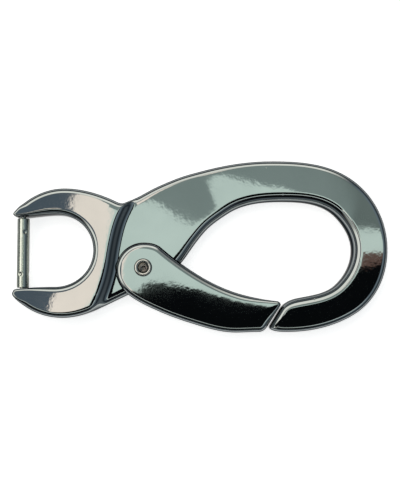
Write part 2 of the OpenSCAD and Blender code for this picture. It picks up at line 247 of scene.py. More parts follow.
side_steps = 30
upper = trace(UPPER_SIDE, side_steps)
lower = trace(LOWER_SIDE, side_steps)
outer = trace(ARM_OUTER, ROW_STEPS)
inner = trace(ARM_INNER, ROW_STEPS)
rows = len(outer) - 1
middle = (outer[:, :2] + inner[:, :2]) / 2
way_along = np.concatenate([[0], np.cumsum(np.hypot(*np.diff(middle, axis=0).T))])
share = (way_along - THIN_UNTIL) / (FULL_FROM - THIN_UNTIL)
rises = (1 + np.hypot(share, SOFT_END) - np.hypot(share - 1, SOFT_END)) / 2
rises = np.clip(rises - rises[0], 0, 1)
nose = outer[-1] + (inner[-1] - outer[-1]) * np.linspace(0, 1, ACROSS + 2)[1:-1, None]
yoke_rows = 2 * len(upper) + ACROSS
slot_at = np.linspace(0, (len(STRAP_SLOT) - 1) * side_steps, yoke_rows)
slot_path = trace(STRAP_SLOT, side_steps)
slot = np.column_stack([np.interp(slot_at, np.arange(len(slot_path)), slot_path[:, c]) for c in range(3)])
body_outline = np.vstack([upper, outer[1:], nose, inner[:0:-1], lower, slot])
yoke_rise = np.zeros(len(upper))
body_rise = np.concatenate([
    yoke_rise, rises[1:], np.full(ACROSS, rises[-1]), rises[:0:-1], yoke_rise, np.zeros(len(slot)),
])


def body_half(x, y):
    """Half thickness of the hook's casting at points that lie along its outline."""
    return thickness(x, y, body_rise)


outer_0 = len(upper) - 1
inner_0 = len(upper) + 2 * rows + ACROSS


def body_patches(edge):
    """Rows across the neck, tongue, arm and ring, and rows from the yoke's outside to the strap slot."""
    across = [between(edge[outer_0 + r], edge[inner_0 - r], ACROSS + 2) for r in range(rows + 1)]
    across[rows] = edge[outer_0 + rows : inner_0 - rows + 1]
    first_row = np.array(across[0])
    arm = np.array(across)
    yield arm, thickness(arm[:, :, 0], arm[:, :, 1], rises[:, None])
    outside = np.vstack([edge[: outer_0 + 1], first_row[1:-1], edge[inner_0 : inner_0 + len(lower)]])
    inside = edge[: -len(slot) - 1 : -1]
    yoke = np.array([between(o, i, ACROSS) for o, i in zip(outside, inside)])
    yield yoke, thickness(yoke[:, :, 0], yoke[:, :, 1], 0.0)


hook = casting("hook_casting", body_outline, body_half, body_patches, BODY_CROWN)


def prism(points, low, high):
    """A straight-sided cutter over a polygon, from one height to another."""
    n = len(points)
    verts = [(x, y, low) for x, y in points] + [(x, y, high) for x, y in points]
    sides = [(i, (i + 1) % n, n + (i + 1) % n, n + i) for i in range(n)]
    return piece_from("cutter", verts, [tuple(range(n - 1, -1, -1)), tuple(range(n, 2 * n))] + sides)


def round_points(centre, radius, sides=72):
    return [
        (centre[0] + radius * math.cos(2 * math.pi * i / sides), centre[1] + radius * math.sin(2 * math.pi * i / sides))
        for i in range(sides)
    ]


def plain_mesh(piece):
    """Makes a piece's modifiers part of its mesh."""
    bpy.context.view_layer.update()
    result = bpy.data.meshes.new_from_object(piece.evaluated_get(bpy.context.evaluated_depsgraph_get()))
    piece.modifiers.clear()
    piece.data = result


def cut(piece, *cutters):
    """Takes the cutters out of a piece and leaves its rounded edges smooth."""
    for cutter in cutters:
        step = piece.modifiers.new("cut", "BOOLEAN")
        step.operation = "DIFFERENCE"
        step.solver = "EXACT"
        step.object = cutter
    plain_mesh(piece)
    for cutter in cutters:
        bpy.data.objects.remove(cutter)
    piece.data.set_sharp_from_angle(angle=math.radians(38))


RIVET_D = 2.2
RIVET_PLAY = 0.04
POCKET_D = 4.2
POCKET_Z = 2.2
WINDOW_R = 7.4
BAR_X = -28.85
TIP_D = 0.9
window = [(PIVOT[0], PIVOT[1])] + [
    (PIVOT[0] + WINDOW_R * math.cos(math.radians(a)), PIVOT[1] + WINDOW_R * math.sin(math.radians(a)))
    for a in (-84, -55, -26, 3)
]


def bar_hole(face_y, reach):
    """Cutter for the hole in a prong that takes a tip of the spring bar."""
    hole = prism(round_points((0, 0), TIP_D / 2 + RIVET_PLAY, 32), -reach, reach)
    for v in hole.data.vertices:
        x, y, z = v.co
        v.co = (x + BAR_X * MM, z + face_y * MM, y + MID_Z * MM)
    return hole


cut(
    hook,
    prism(round_points(PIVOT, POCKET_D / 2), POCKET_Z, 6),
    prism(window, POCKET_Z, 6),
    prism(round_points(PIVOT, RIVET_D / 2 + RIVET_PLAY), -1, 6),
    bar_hole(4.8, 1),
    bar_hole(-6.75, 1),
)


def linear(hex_colour):
    """Linear colour from an sRGB hex value."""
    parts = [int(hex_colour[i : i + 2], 16) / 255 for i in (1, 3, 5)]
    return [p / 12.92 if p <= 0.04045 else ((p + 0.055) / 1.055) ** 2.4 for p in parts] + [1.0]


def add(tree, kind, inputs=(), **settings):
    """Adds a node to a tree with its settings, and links or sets its inputs."""
    node = tree.nodes.new(kind)
    for name, value in settings.items():
        setattr(node, name, value)
    for key, value in dict(inputs).items():
        if isinstance(value, bpy.types.NodeSocket):
            tree.links.new(value, node.inputs[key])
        else:
            node.inputs[key].default_value = value
    return node


def with_painted_edge_shade(tree, colour, edge):
    """A metal's colour with painted shade: it darkens towards a dark edge colour where a wall turns from the eye."""
    turned_away = add(tree, "ShaderNodeLayerWeight", {"Blend": 0.5}).outputs["Facing"]
    share = add(tree, "ShaderNodeMapRange", {"Value": turned_away, "From Min": 0.18, "From Max": 0.5})
    mix = add(tree, "ShaderNodeMix", {0: share.outputs["Result"], 6: colour, 7: linear(edge)}, data_type="RGBA")
    return mix.outputs[2]


def per_mm(size):
    """Scale of a pattern whose features are that many millimetres apart."""
    return 1 / (size * MM)


# Bright plating over polished zinc: a mirror with a faint grey-green cast. Casting and
# tumbling leave slow ripples some millimetres long, a finer orange peel, and rare pits.
plating = bpy.data.materials.new("bright_plated_zinc")
plating.use_nodes = True
tree = plating.node_tree
shader = tree.nodes["Principled BSDF"]
place = add(tree, "ShaderNodeTexCoord").outputs["Object"]
clouds = add(tree, "ShaderNodeTexNoise", {"Vector": place, "Scale": per_mm(7), "Detail": 3.0, "Roughness": 0.5})
tint = add(tree, "ShaderNodeMix", {"Factor": clouds.outputs["Fac"]}, data_type="RGBA")
tint.inputs["A"].default_value = linear("#B4B8B6")
tint.inputs["B"].default_value = linear("#A2A8A6")
# Painted shade: the plating's colour darkens to #6E7274 where its walls turn from the eye.
tree.links.new(with_painted_edge_shade(tree, tint.outputs[2], "#6E7274"), shader.inputs["Base Color"])
haze = add(tree, "ShaderNodeMapRange", {"Value": clouds.outputs["Fac"], "From Min": 0.35, "From Max": 0.75, "To Min": 0.02, "To Max": 0.05})
tree.links.new(haze.outputs["Result"], shader.inputs["Roughness"])
ripple = add(tree, "ShaderNodeTexNoise", {"Vector": place, "Scale": per_mm(6), "Detail": 1.0})
peel = add(tree, "ShaderNodeTexNoise", {"Vector": place, "Scale": per_mm(0.7), "Detail": 1.0})
pits = add(tree, "ShaderNodeTexVoronoi", {"Vector": place, "Scale": per_mm(4.5), "Randomness": 1.0})
pit = add(tree, "ShaderNodeMapRange", {"Value": pits.outputs["Distance"], "From Min": 0.0, "From Max": 0.035, "To Min": 0.0, "To Max": 1.0}, interpolation_type="SMOOTHSTEP")
grain = add(tree, "ShaderNodeTexNoise", {"Vector": place, "Scale": per_mm(0.22), "Detail": 2.0})
bump_ripple = add(tree, "ShaderNodeBump", {"Height": ripple.outputs["Fac"], "Strength": 1.0, "Distance": 0.010 * MM})
bump_peel = add(tree, "ShaderNodeBump", {"Height": peel.outputs["Fac"], "Strength": 1.0, "Distance": 0.0016 * MM, "Normal": bump_ripple.outputs["Normal"]})
bump_grain = add(tree, "ShaderNodeBump", {"Height": grain.outputs["Fac"], "Strength": 1.0, "Distance": 0.0002 * MM, "Normal": bump_peel.outputs["Normal"]})
bump_pit = add(tree, "ShaderNodeBump", {"Height": pit.outputs["Result"], "Strength": 1.0, "Distance": 0.02 * MM, "Normal": bump_grain.outputs["Normal"]})
tree.links.new(bump_pit.outputs["Normal"], shader.inputs["Normal"])
shader.inputs["Metallic"].default_value = 1.0
shader.inputs["Specular Tint"].default_value = linear("#707070")
hook.data.materials.clear()
hook.data.materials.append(plating)
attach(hook, "hook")
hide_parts("hook_body")

# ---------------------------------------------------------------- gate
# The moving arm that closes the hook ring: a second zinc casting, slotted so that its two
# cheeks straddle the tongue. It turns on the rivet and rests against the nose.
GATE_T = 4.7
GATE_EDGE = 0.85
GATE_CROWN = (0.04, 0.9)
GATE_UPPER = [
    (-13.43, -2.26, 70, GATE_EDGE),
    (-9.2, 0.7, 0, GATE_EDGE),
    (-6.3, -0.15, -41, GATE_EDGE),
    (0.6, -5.1, -30, GATE_EDGE),
    (6.4, -7.6, -16, GATE_EDGE),
    (12.3, -8.75, -6, TIP_EDGE),
    (12.8, -9.6, -122, TIP_EDGE),
]
GATE_LOWER = [
    (10.8, -12.8, -122, GATE_EDGE),
    (9.4, -13.75, 180, GATE_EDGE),
    (5.4, -13.85, 179, GATE_EDGE),
    (-1.4, -12.4, 163, GATE_EDGE),
    (-6.6, -10.5, 156, GATE_EDGE),
    (-11.6, -7.8, 142, GATE_EDGE),
    (-13.43, -5.34, 110, GATE_EDGE),
]
SLOT_Z = (0.9, 4.1)
SLOT_R = 3.9
SLOT_FAR = (10.6, -1.8)
SLOT_REACH = 12
NECK_SLOPE = 26.6
NECK_GAP = 3.15
RIVET_HEAD_D = 3.4
HEAD_TOP = 0.45

gate_steps = 26
gate_upper = trace(GATE_UPPER, gate_steps)
gate_lower = trace(GATE_LOWER, gate_steps)
gate_tip = trace([GATE_UPPER[-1], GATE_LOWER[0]], ACROSS + 1)[1:-1]
gate_head = trace([GATE_LOWER[-1], GATE_UPPER[0]], ACROSS + 1)[1:-1]
gate_outline = np.vstack([gate_upper, gate_tip, gate_lower, gate_head])
gate_rows = len(gate_upper)


def gate_half(x, y):
    """Half thickness of the gate, which is the same all over."""
    return np.full(len(x), GATE_T / 2)


def gate_patches(edge):
    """Rows across the gate from its head to its tip."""
    lower_0 = 2 * gate_rows + ACROSS - 1
    across = [between(edge[r], edge[lower_0 - r], ACROSS + 2) for r in range(gate_rows)]
    across[0] = np.vstack([edge[:1], edge[: -ACROSS - 1 : -1], edge[lower_0 : lower_0 + 1]])
    across[-1] = edge[gate_rows - 1 : gate_rows + ACROSS + 1]
    yield np.array(across), np.full((gate_rows, ACROSS + 2), GATE_T / 2)


gate = casting("gate_casting", gate_outline, gate_half, gate_patches, GATE_CROWN)
slope = math.radians(NECK_SLOPE)
foot = (NECK_GAP * math.sin(slope), -NECK_GAP * math.cos(slope))
web_start = math.atan2(SLOT_FAR[1], SLOT_FAR[0]) - math.acos(SLOT_R / math.hypot(*SLOT_FAR))
open_sides = [
    foot,
    (foot[0] - SLOT_REACH * math.cos(slope), foot[1] - SLOT_REACH * math.sin(slope)),
    (-SLOT_REACH, SLOT_REACH),
    (SLOT_REACH, SLOT_REACH),
    SLOT_FAR,
]
open_sides += [
    (w * SLOT_R * math.cos(web_start + math.radians(a)), w * SLOT_R * math.sin(web_start + math.radians(a)))
    for w, a in ((1.03, -4), (0.8, -12))
]
cut(
    gate,
    prism([(PIVOT[0] + x, PIVOT[1] + y) for x, y in open_sides], *SLOT_Z),
    prism(round_points(PIVOT, SLOT_R, 120), *SLOT_Z),
    prism(round_points(PIVOT, RIVET_D / 2), -1, 6),
    prism(round_points(PIVOT, RIVET_HEAD_D / 2 + RIVET_PLAY), -1, HEAD_TOP),
)
gate.data.materials.clear()
gate.data.materials.append(plating)
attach(gate, "gate")
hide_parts("gate")

# ---------------------------------------------------------------- pivot rivet
# A steel tubular rivet, nickel plated: a thin flat head at the back, and at the front its
# drilled end rolled over into a rounded rim that holds the gate on.
RIM_D = 2.9
RIVET_HOLE_D = 1.6
RIVET_HOLE_L = 2.4
HEAD_BACK = 0.05


def turned(name, profile, sides=72):
    """A piece turned about its axis from pairs of radius and height, closed at its poles."""
    verts, faces, loops = [], [], []
    for r, z in profile:
        count = 1 if r < 1e-6 else sides
        loops.append((len(verts), count))
        verts += [(r * math.cos(2 * math.pi * i / count), r * math.sin(2 * math.pi * i / count), z) for i in range(count)]
    for (a, na), (b, nb) in zip(loops, loops[1:]):
        for i in range(sides):
            j = (i + 1) % sides
            ring = [a + i % na, a + j % na, b + j % nb, b + i % nb]
            faces.append(tuple(dict.fromkeys(ring)))
    piece = piece_from(name, verts, faces)
    piece.data.set_sharp_from_angle(angle=math.radians(32))
    return piece


def move_mesh(piece, x, y, z):
    """Puts a piece's mesh in its place, in millimetres."""
    for v in piece.data.vertices:
        v.co.x, v.co.y, v.co.z = v.co.x + x * MM, v.co.y + y * MM, v.co.z + z * MM


gate_face = MID_Z + GATE_T / 2
rim_r = (RIM_D - RIVET_HOLE_D) / 4
rim_mid = (RIM_D + RIVET_HOLE_D) / 4
rim = [
    (rim_mid + rim_r * math.cos(math.radians(a)), gate_face + rim_r * math.sin(math.radians(a)))
    for a in range(0, 181, 15)
]
rivet = turned("pivot_rivet_turned", [
    (0, HEAD_BACK), (RIVET_HEAD_D / 2 - 0.12, HEAD_BACK), (RIVET_HEAD_D / 2 - 0.04, HEAD_BACK + 0.04),
    (RIVET_HEAD_D / 2, HEAD_BACK + 0.12), (RIVET_HEAD_D / 2, HEAD_TOP), (RIVET_D / 2, HEAD_TOP),
    (RIVET_D / 2, gate_face - 0.02), (RIM_D / 2, gate_face - 0.02),
] + rim + [(RIVET_HOLE_D / 2, gate_face - RIVET_HOLE_L), (0, gate_face - RIVET_HOLE_L - 0.3)])
move_mesh(rivet, PIVOT[0], PIVOT[1], 0)

# Nickel-plated steel, rolled over by a spinning tool: fine rings, slightly duller than the castings.
nickel = bpy.data.materials.new("nickel_plated_steel")
nickel.use_nodes = True
tree = nickel.node_tree
shader = tree.nodes["Principled BSDF"]
place = add(tree, "ShaderNodeTexCoord").outputs["Object"]
centred = add(tree, "ShaderNodeMapping", {"Vector": place, "Location": (-PIVOT[0] * MM, -PIVOT[1] * MM, 0)})
rings = add(tree, "ShaderNodeTexWave", {"Vector": centred.outputs["Vector"], "Scale": per_mm(0.25) / (2 * math.pi), "Distortion": 0.6, "Detail": 2.0}, wave_type="RINGS", rings_direction="Z")
grime = add(tree, "ShaderNodeTexNoise", {"Vector": place, "Scale": per_mm(0.8), "Detail": 3.0})
tint = add(tree, "ShaderNodeMix", {"Factor": grime.outputs["Fac"]}, data_type="RGBA")
tint.inputs["A"].default_value = linear("#DAD8D0")
tint.inputs["B"].default_value = linear("#B4B2AA")
from_axis = add(tree, "ShaderNodeVectorMath", {0: centred.outputs["Vector"], 1: (1, 1, 0)}, operation="MULTIPLY")
radius = add(tree, "ShaderNodeVectorMath", {0: from_axis.outputs[0]}, operation="LENGTH").outputs["Value"]
# Painted shade: the colour darkens to brownish grey #8E857E inside the rivet's drilled hole.
in_hole = add(tree, "ShaderNodeMapRange", {
    "Value": radius, "From Min": 0.55 * MM, "From Max": 0.78 * MM,
    "To Min": 1.0, "To Max": 0.0,
}).outputs["Result"]
painted_hole_shade = add(tree, "ShaderNodeMix", {0: in_hole, 6: tint.outputs[2], 7: linear("#8E857E")}, data_type="RGBA")
# Painted shade: the nickel's colour darkens to #6A6864 where its walls turn from the eye.
tree.links.new(with_painted_edge_shade(tree, painted_hole_shade.outputs[2], "#6A6864"), shader.inputs["Base Color"])
dull = add(tree, "ShaderNodeMapRange", {"Value": grime.outputs["Fac"], "To Min": 0.1, "To Max": 0.26})
tree.links.new(dull.outputs["Result"], shader.inputs["Roughness"])
bump = add(tree, "ShaderNodeBump", {"Height": rings.outputs["Fac"], "Strength": 1.0, "Distance": 0.002 * MM})
tree.links.new(bump.outputs["Normal"], shader.inputs["Normal"])
shader.inputs["Metallic"].default_value = 1.0
rivet.data.materials.append(nickel)
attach(rivet, "gate")
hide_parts("pivot_rivet")

# ---------------------------------------------------------------- gate spring
# Torsion spring of hard-drawn steel wire in the tongue's pocket: three turns round the
# rivet, a fixed leg in its channel, and a free leg that pushes the gate's web shut.
WIRE_D = 0.4
COIL_D = 3.3
COIL_TURNS = 3
LEG_START = -110
LEG_L = 3.4
ANCHOR_L = 3.0
COIL_LOW = 2.43
COIL_RISE = 1.34

# Drawn spring wire: bright grey steel with fine die lines along it and a thin oil film.
spring_steel = bpy.data.materials.new("drawn_spring_steel")
spring_steel.use_nodes = True
tree = spring_steel.node_tree
shader = tree.nodes["Principled BSDF"]
place = add(tree, "ShaderNodeTexCoord").outputs["Object"]
drawn = add(tree, "ShaderNodeTexNoise", {"Vector": place, "Scale": per_mm(0.15), "Detail": 2.0})
tint = add(tree, "ShaderNodeMix", {"Factor": drawn.outputs["Fac"]}, data_type="RGBA")
tint.inputs["A"].default_value = linear("#B9B6AE")
tint.inputs["B"].default_value = linear("#8F8C86")
tree.links.new(tint.outputs["Result"], shader.inputs["Base Color"])
dull = add(tree, "ShaderNodeMapRange", {"Value": drawn.outputs["Fac"], "To Min": 0.18, "To Max": 0.38})
tree.links.new(dull.outputs["Result"], shader.inputs["Roughness"])
shader.inputs["Metallic"].default_value = 1.0


def wire_tree(name, material):
    """Geometry nodes that wind a wire coil about Z, with a straight leg at each end if its length isn't 0."""
    group = bpy.data.node_groups.new(name, "GeometryNodeTree")
    sockets = {}
    group.interface.new_socket("Geometry", in_out="OUTPUT", socket_type="NodeSocketGeometry")
    for label, kind in (
        ("Wire radius", "Float"), ("Coil radius", "Float"), ("Turns", "Float"), ("Rise", "Float"),
        ("First leg", "Float"), ("Last leg", "Float"), ("Steps a turn", "Int"), ("Wire sides", "Int"),
    ):
        item = group.interface.new_socket(label, in_out="INPUT", socket_type="NodeSocket" + kind)
        sockets[label] = item.identifier
    given = add(group, "NodeGroupInput").outputs
    done = add(group, "NodeGroupOutput")
    coil = add(group, "GeometryNodeCurveSpiral", {
        "Resolution": given["Steps a turn"], "Rotations": given["Turns"], "Start Radius": given["Coil radius"],
        "End Radius": given["Coil radius"], "Height": given["Rise"],
    })
    back = add(group, "ShaderNodeMath", {0: given["First leg"], 1: -1.0}, operation="MULTIPLY")
    first = add(group, "GeometryNodeCurvePrimitiveLine", {
        "Start": add(group, "ShaderNodeCombineXYZ", {"X": given["Coil radius"], "Y": back.outputs[0]}).outputs[0],
        "End": add(group, "ShaderNodeCombineXYZ", {"X": given["Coil radius"]}).outputs[0],
    }, mode="POINTS")
    last = add(group, "GeometryNodeCurvePrimitiveLine", {
        "Start": add(group, "ShaderNodeCombineXYZ", {"X": given["Coil radius"], "Z": given["Rise"]}).outputs[0],
        "End": add(group, "ShaderNodeCombineXYZ", {"X": given["Coil radius"], "Y": given["Last leg"], "Z": given["Rise"]}).outputs[0],
    }, mode="POINTS")
    legs = add(group, "GeometryNodeJoinGeometry")
    group.links.new(first.outputs["Curve"], legs.inputs[0])
    group.links.new(last.outputs["Curve"], legs.inputs[0])
    has_legs = add(group, "FunctionNodeCompare", {0: given["Last leg"], 1: 0.0}, data_type="FLOAT", operation="GREATER_THAN")
    chosen = add(group, "GeometryNodeSwitch", {"Switch": has_legs.outputs["Result"], "True": legs.outputs[0]}, input_type="GEOMETRY")
    paths = add(group, "GeometryNodeJoinGeometry")
    group.links.new(coil.outputs["Curve"], paths.inputs[0])
    group.links.new(chosen.outputs["Output"], paths.inputs[0])
    section = add(group, "GeometryNodeCurvePrimitiveCircle", {"Resolution": given["Wire sides"], "Radius": given["Wire radius"]}, mode="RADIUS")
    wire = add(group, "GeometryNodeCurveToMesh", {"Curve": paths.outputs[0], "Profile Curve": section.outputs["Curve"], "Fill Caps": True})
    smooth = add(group, "GeometryNodeSetShadeSmooth", {"Geometry": wire.outputs["Mesh"]})
    real = add(group, "GeometryNodeRealizeInstances", {"Geometry": smooth.outputs[0]})
    painted = add(group, "GeometryNodeSetMaterial", {"Geometry": real.outputs[0], "Material": material})
    group.links.new(painted.outputs[0], done.inputs[0])
    return group, sockets


def from_nodes(name, group, sockets, sizes, base=None):
    """Runs a node tree once with its named sizes and returns its result as a plain mesh piece."""
    piece = bpy.data.objects.new(name, base or bpy.data.meshes.new(name))
    bpy.context.scene.collection.objects.link(piece)
    step = piece.modifiers.new(name, "NODES")
    step.node_group = group
    for label, value in sizes.items():
        step[sockets[label]] = value
    plain_mesh(piece)
    return piece


coil_tree, coil_sockets = wire_tree("wire_coil", spring_steel)
spring = from_nodes("gate_spring_wound", coil_tree, coil_sockets, {
    "Wire radius": WIRE_D / 2 * MM, "Coil radius": COIL_D / 2 * MM, "Turns": float(COIL_TURNS), "Rise": COIL_RISE * MM,
    "First leg": ANCHOR_L * MM, "Last leg": LEG_L * MM, "Steps a turn": 48, "Wire sides": 12,
})
lead = math.radians(LEG_START)
for v in spring.data.vertices:
    x, y = v.co.x, v.co.y
    v.co.x = x * math.cos(lead) - y * math.sin(lead)
    v.co.y = x * math.sin(lead) + y * math.cos(lead)
move_mesh(spring, PIVOT[0], PIVOT[1], COIL_LOW)
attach(spring, "hook")
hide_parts("gate_spring")

# ---------------------------------------------------------------- spring bar
# The bar that holds the strap: a drawn stainless tube between the prongs, crimped near each
# end so that its two spring-loaded tips stay in, with a fine coil spring between them.
BAR_D = 2.0
BAR_BORE_D = 1.36
TUBE_L = 11.25
BAR_Y = -0.975
DENT_DEPTH = 0.14
DENT_R = 0.5
DENT_FROM_END = 2.2
tube_sides = 96


def on_bar(piece):
    """Lays a piece drawn along Z from the bar's middle onto the bar's axis."""
    for v in piece.data.vertices:
        x, y, z = v.co
        v.co = (x + BAR_X * MM, z + BAR_Y * MM, MID_Z * MM - y)
    piece.data.update()


# Drawn and polished stainless tube: lines of the draw along it, grey-green in soft light.
stainless = bpy.data.materials.new("drawn_stainless_steel")
stainless.use_nodes = True
tree = stainless.node_tree
shader = tree.nodes["Principled BSDF"]
place = add(tree, "ShaderNodeTexCoord").outputs["Object"]
along = add(tree, "ShaderNodeMapping", {"Vector": place, "Scale": (1, 0.03, 1)})
lines = add(tree, "ShaderNodeTexNoise", {"Vector": along.outputs["Vector"], "Scale": per_mm(0.12), "Detail": 3.0})
smears = add(tree, "ShaderNodeTexNoise", {"Vector": place, "Scale": per_mm(2), "Detail": 2.0})
tint = add(tree, "ShaderNodeMix", {"Factor": smears.outputs["Fac"]}, data_type="RGBA")
tint.inputs["A"].default_value = linear("#DDE2D6")
tint.inputs["B"].default_value = linear("#BCC2B6")
# Painted shade: the tube's colour darkens to #5A5F58 where its sides turn from the eye.
tree.links.new(with_painted_edge_shade(tree, tint.outputs[2], "#5A5F58"), shader.inputs["Base Color"])
dull = add(tree, "ShaderNodeMapRange", {"Value": lines.outputs["Fac"], "To Min": 0.12, "To Max": 0.28})
tree.links.new(dull.outputs["Result"], shader.inputs["Roughness"])
bump = add(tree, "ShaderNodeBump", {"Height": lines.outputs["Fac"], "Strength": 1.0, "Distance": 0.0015 * MM})
tree.links.new(bump.outputs["Normal"], shader.inputs["Normal"])
shader.inputs["Metallic"].default_value = 1.0


def crimp_tree(name, material):
    """Geometry nodes that press a ring of round dents into each end of a tube along Z."""
    group = bpy.data.node_groups.new(name, "GeometryNodeTree")
    sockets = {}
    group.interface.new_socket("Geometry", in_out="INPUT", socket_type="NodeSocketGeometry")
    group.interface.new_socket("Geometry", in_out="OUTPUT", socket_type="NodeSocketGeometry")
    for label, kind in (
        ("Dents a ring", "Int"), ("Tube radius", "Float"), ("Ring height", "Float"), ("Upper turn", "Float"),
        ("Lower turn", "Float"), ("Dent radius", "Float"), ("Dent depth", "Float"),
    ):
        item = group.interface.new_socket(label, in_out="INPUT", socket_type="NodeSocket" + kind)
        sockets[label] = item.identifier
    given = add(group, "NodeGroupInput").outputs
    done = add(group, "NodeGroupOutput")
    ring = add(group, "GeometryNodeMeshCircle", {"Vertices": given["Dents a ring"], "Radius": given["Tube radius"]})
    centres = add(group, "GeometryNodeJoinGeometry")
    for side, turn in ((1.0, "Upper turn"), (-1.0, "Lower turn")):
        height = add(group, "ShaderNodeMath", {0: given["Ring height"], 1: side}, operation="MULTIPLY")
        placed = add(group, "GeometryNodeTransform", {
            "Geometry": ring.outputs[0],
            "Translation": add(group, "ShaderNodeCombineXYZ", {"Z": height.outputs[0]}).outputs[0],
            "Rotation": add(group, "ShaderNodeCombineXYZ", {"Z": given[turn]}).outputs[0],
        })
        group.links.new(placed.outputs[0], centres.inputs[0])
    nearest = add(group, "GeometryNodeProximity", {"Target": centres.outputs[0]}, target_element="POINTS")
    press = add(group, "ShaderNodeMapRange", {
        "Value": nearest.outputs["Distance"], "From Min": 0.0, "From Max": given["Dent radius"],
        "To Min": given["Dent depth"], "To Max": 0.0,
    }, interpolation_type="SMOOTHERSTEP")
    spot = add(group, "GeometryNodeInputPosition")
    flat = add(group, "ShaderNodeVectorMath", {0: spot.outputs[0], 1: (1.0, 1.0, 0.0)}, operation="MULTIPLY")
    outward = add(group, "ShaderNodeVectorMath", {0: flat.outputs[0]}, operation="NORMALIZE")
    inwards = add(group, "ShaderNodeMath", {0: press.outputs["Result"], 1: -1.0}, operation="MULTIPLY")
    shift = add(group, "ShaderNodeVectorMath", {0: outward.outputs[0], "Scale": inwards.outputs[0]}, operation="SCALE")
    pressed = add(group, "GeometryNodeSetPosition", {"Geometry": given["Geometry"], "Offset": shift.outputs[0]})
    real = add(group, "GeometryNodeRealizeInstances", {"Geometry": pressed.outputs[0]})
    painted = add(group, "GeometryNodeSetMaterial", {"Geometry": real.outputs[0], "Material": material})
    group.links.new(painted.outputs[0], done.inputs[0])
    return group, sockets


half_l = TUBE_L / 2
wall = [(BAR_D / 2, z) for z in np.linspace(-half_l + 0.08, half_l - 0.08, 200)]
bore = [(BAR_BORE_D / 2, z) for z in np.linspace(half_l - 0.03, -half_l + 0.03, 24)]
lip_out, lip_in = BAR_D / 2 - 0.08, BAR_BORE_D / 2 + 0.04
tube_profile = [(lip_out, -half_l)] + wall + [(lip_out, half_l), (lip_in, half_l)] + bore + [(lip_in, -half_l), (lip_out, -half_l)]
blank = turned("bar_tube_blank", tube_profile, tube_sides)
dent_tree, dent_sockets = crimp_tree("tube_crimps", stainless)
tube = from_nodes("bar_tube_crimped", dent_tree, dent_sockets, {
    "Dents a ring": 3, "Tube radius": BAR_D / 2 * MM, "Ring height": (half_l - DENT_FROM_END) * MM,
    "Upper turn": math.radians(-65), "Lower turn": math.radians(-106),
    "Dent radius": DENT_R * MM, "Dent depth": DENT_DEPTH * MM,
}, blank.data)
bpy.data.objects.remove(blank)
on_bar(tube)
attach(tube, "bar")
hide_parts("bar_tube")

# The tips are turned from stainless rod: a shouldered body held by the crimps at its waist,
# and a point that springs into the prong's hole.
TIP_BODY_D = 1.26
TIP_L = 1.1
POINT_R = 0.45
for name, sign, node in (("upper", 1, "bar_tip_upper"), ("lower", -1, "bar_tip_lower")):
    z0 = half_l
    outline = [
        (0, z0 - 2.9), (TIP_BODY_D / 2 - 0.05, z0 - 2.9), (TIP_BODY_D / 2, z0 - 2.85), (TIP_BODY_D / 2, z0 - 2.4),
        (TIP_BODY_D / 2 - 0.18, z0 - 2.4), (TIP_BODY_D / 2 - 0.18, z0 - 1), (TIP_BODY_D / 2, z0 - 1),
        (TIP_BODY_D / 2, z0 - 0.15), (TIP_BODY_D / 2 - 0.05, z0 - 0.1), (POINT_R, z0 - 0.1),
        (POINT_R, z0 + TIP_L - 0.15), (POINT_R - 0.05, z0 + TIP_L - 0.05), (POINT_R - 0.15, z0 + TIP_L), (0, z0 + TIP_L),
    ]
    tip = turned("bar_tip_turned_" + name, [(r, sign * z) for r, z in outline], 48)
    on_bar(tip)
    tip.data.materials.append(stainless)
    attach(tip, "tip_" + name)
    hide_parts(node)

# Fine compression spring inside the tube, in two halves that meet at the bar's middle.
FINE_WIRE_D = 0.2
FINE_COIL_D = 0.9
FINE_TURNS = 8
FINE_L = 5.01
for name, low in (("upper", 0.0), ("lower", -FINE_L / 2)):
    half_spring = from_nodes("bar_spring_" + name, coil_tree, coil_sockets, {
        "Wire radius": FINE_WIRE_D / 2 * MM, "Coil radius": FINE_COIL_D / 2 * MM, "Turns": FINE_TURNS / 2,
        "Rise": FINE_L / 2 * MM, "First leg": 0.0, "Last leg": 0.0, "Steps a turn": 36, "Wire sides": 10,
    })
    move_mesh(half_spring, 0, 0, low)
    on_bar(half_spring)
    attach(half_spring, "bar")
    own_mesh(half_spring)
    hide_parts("bar_spring")

# ---------------------------------------------------------------- floor, light and camera
# A plain white floor that shows white to the lens and in the plating, and keeps a faint shadow.
floor_mesh = bpy.data.meshes.new("floor")
floor_mesh.from_pydata([(-3, -3, 0), (3, -3, 0), (3, 3, 0), (-3, 3, 0)], [], [(0, 1, 2, 3)])
floor = bpy.data.objects.new("floor", floor_mesh)
bpy.context.scene.collection.objects.link(floor)
white_card = bpy.data.materials.new("matt_white_card")
white_card.use_nodes = True
tree = white_card.node_tree
tree.nodes.clear()
matt = add(tree, "ShaderNodeBsdfDiffuse", {"Color": linear("#E6E6E6")})
glow = add(tree, "ShaderNodeEmission", {"Color": (1, 1, 1, 1), "Strength": 0.7})
seen = add(tree, "ShaderNodeLightPath")
direct = add(tree, "ShaderNodeMath", {0: seen.outputs["Is Camera Ray"], 1: seen.outputs["Is Glossy Ray"]}, operation="MAXIMUM")
shown = add(tree, "ShaderNodeMath", {0: direct.outputs[0], 1: seen.outputs["Is Transmission Ray"]}, operation="MAXIMUM")
dark = add(tree, "ShaderNodeEmission", {"Color": (0, 0, 0, 1), "Strength": 0.0})
lift = add(tree, "ShaderNodeMixShader", {0: shown.outputs[0], 1: dark.outputs[0], 2: glow.outputs[0]})
card = add(tree, "ShaderNodeMixShader", {0: 0.5, 1: matt.outputs[0], 2: matt.outputs[0]})
both = add(tree, "ShaderNodeAddShader", {0: card.outputs[0], 1: lift.outputs[0]})
add(tree, "ShaderNodeOutputMaterial", {"Surface": both.outputs[0]})
floor.data.materials.append(white_card)

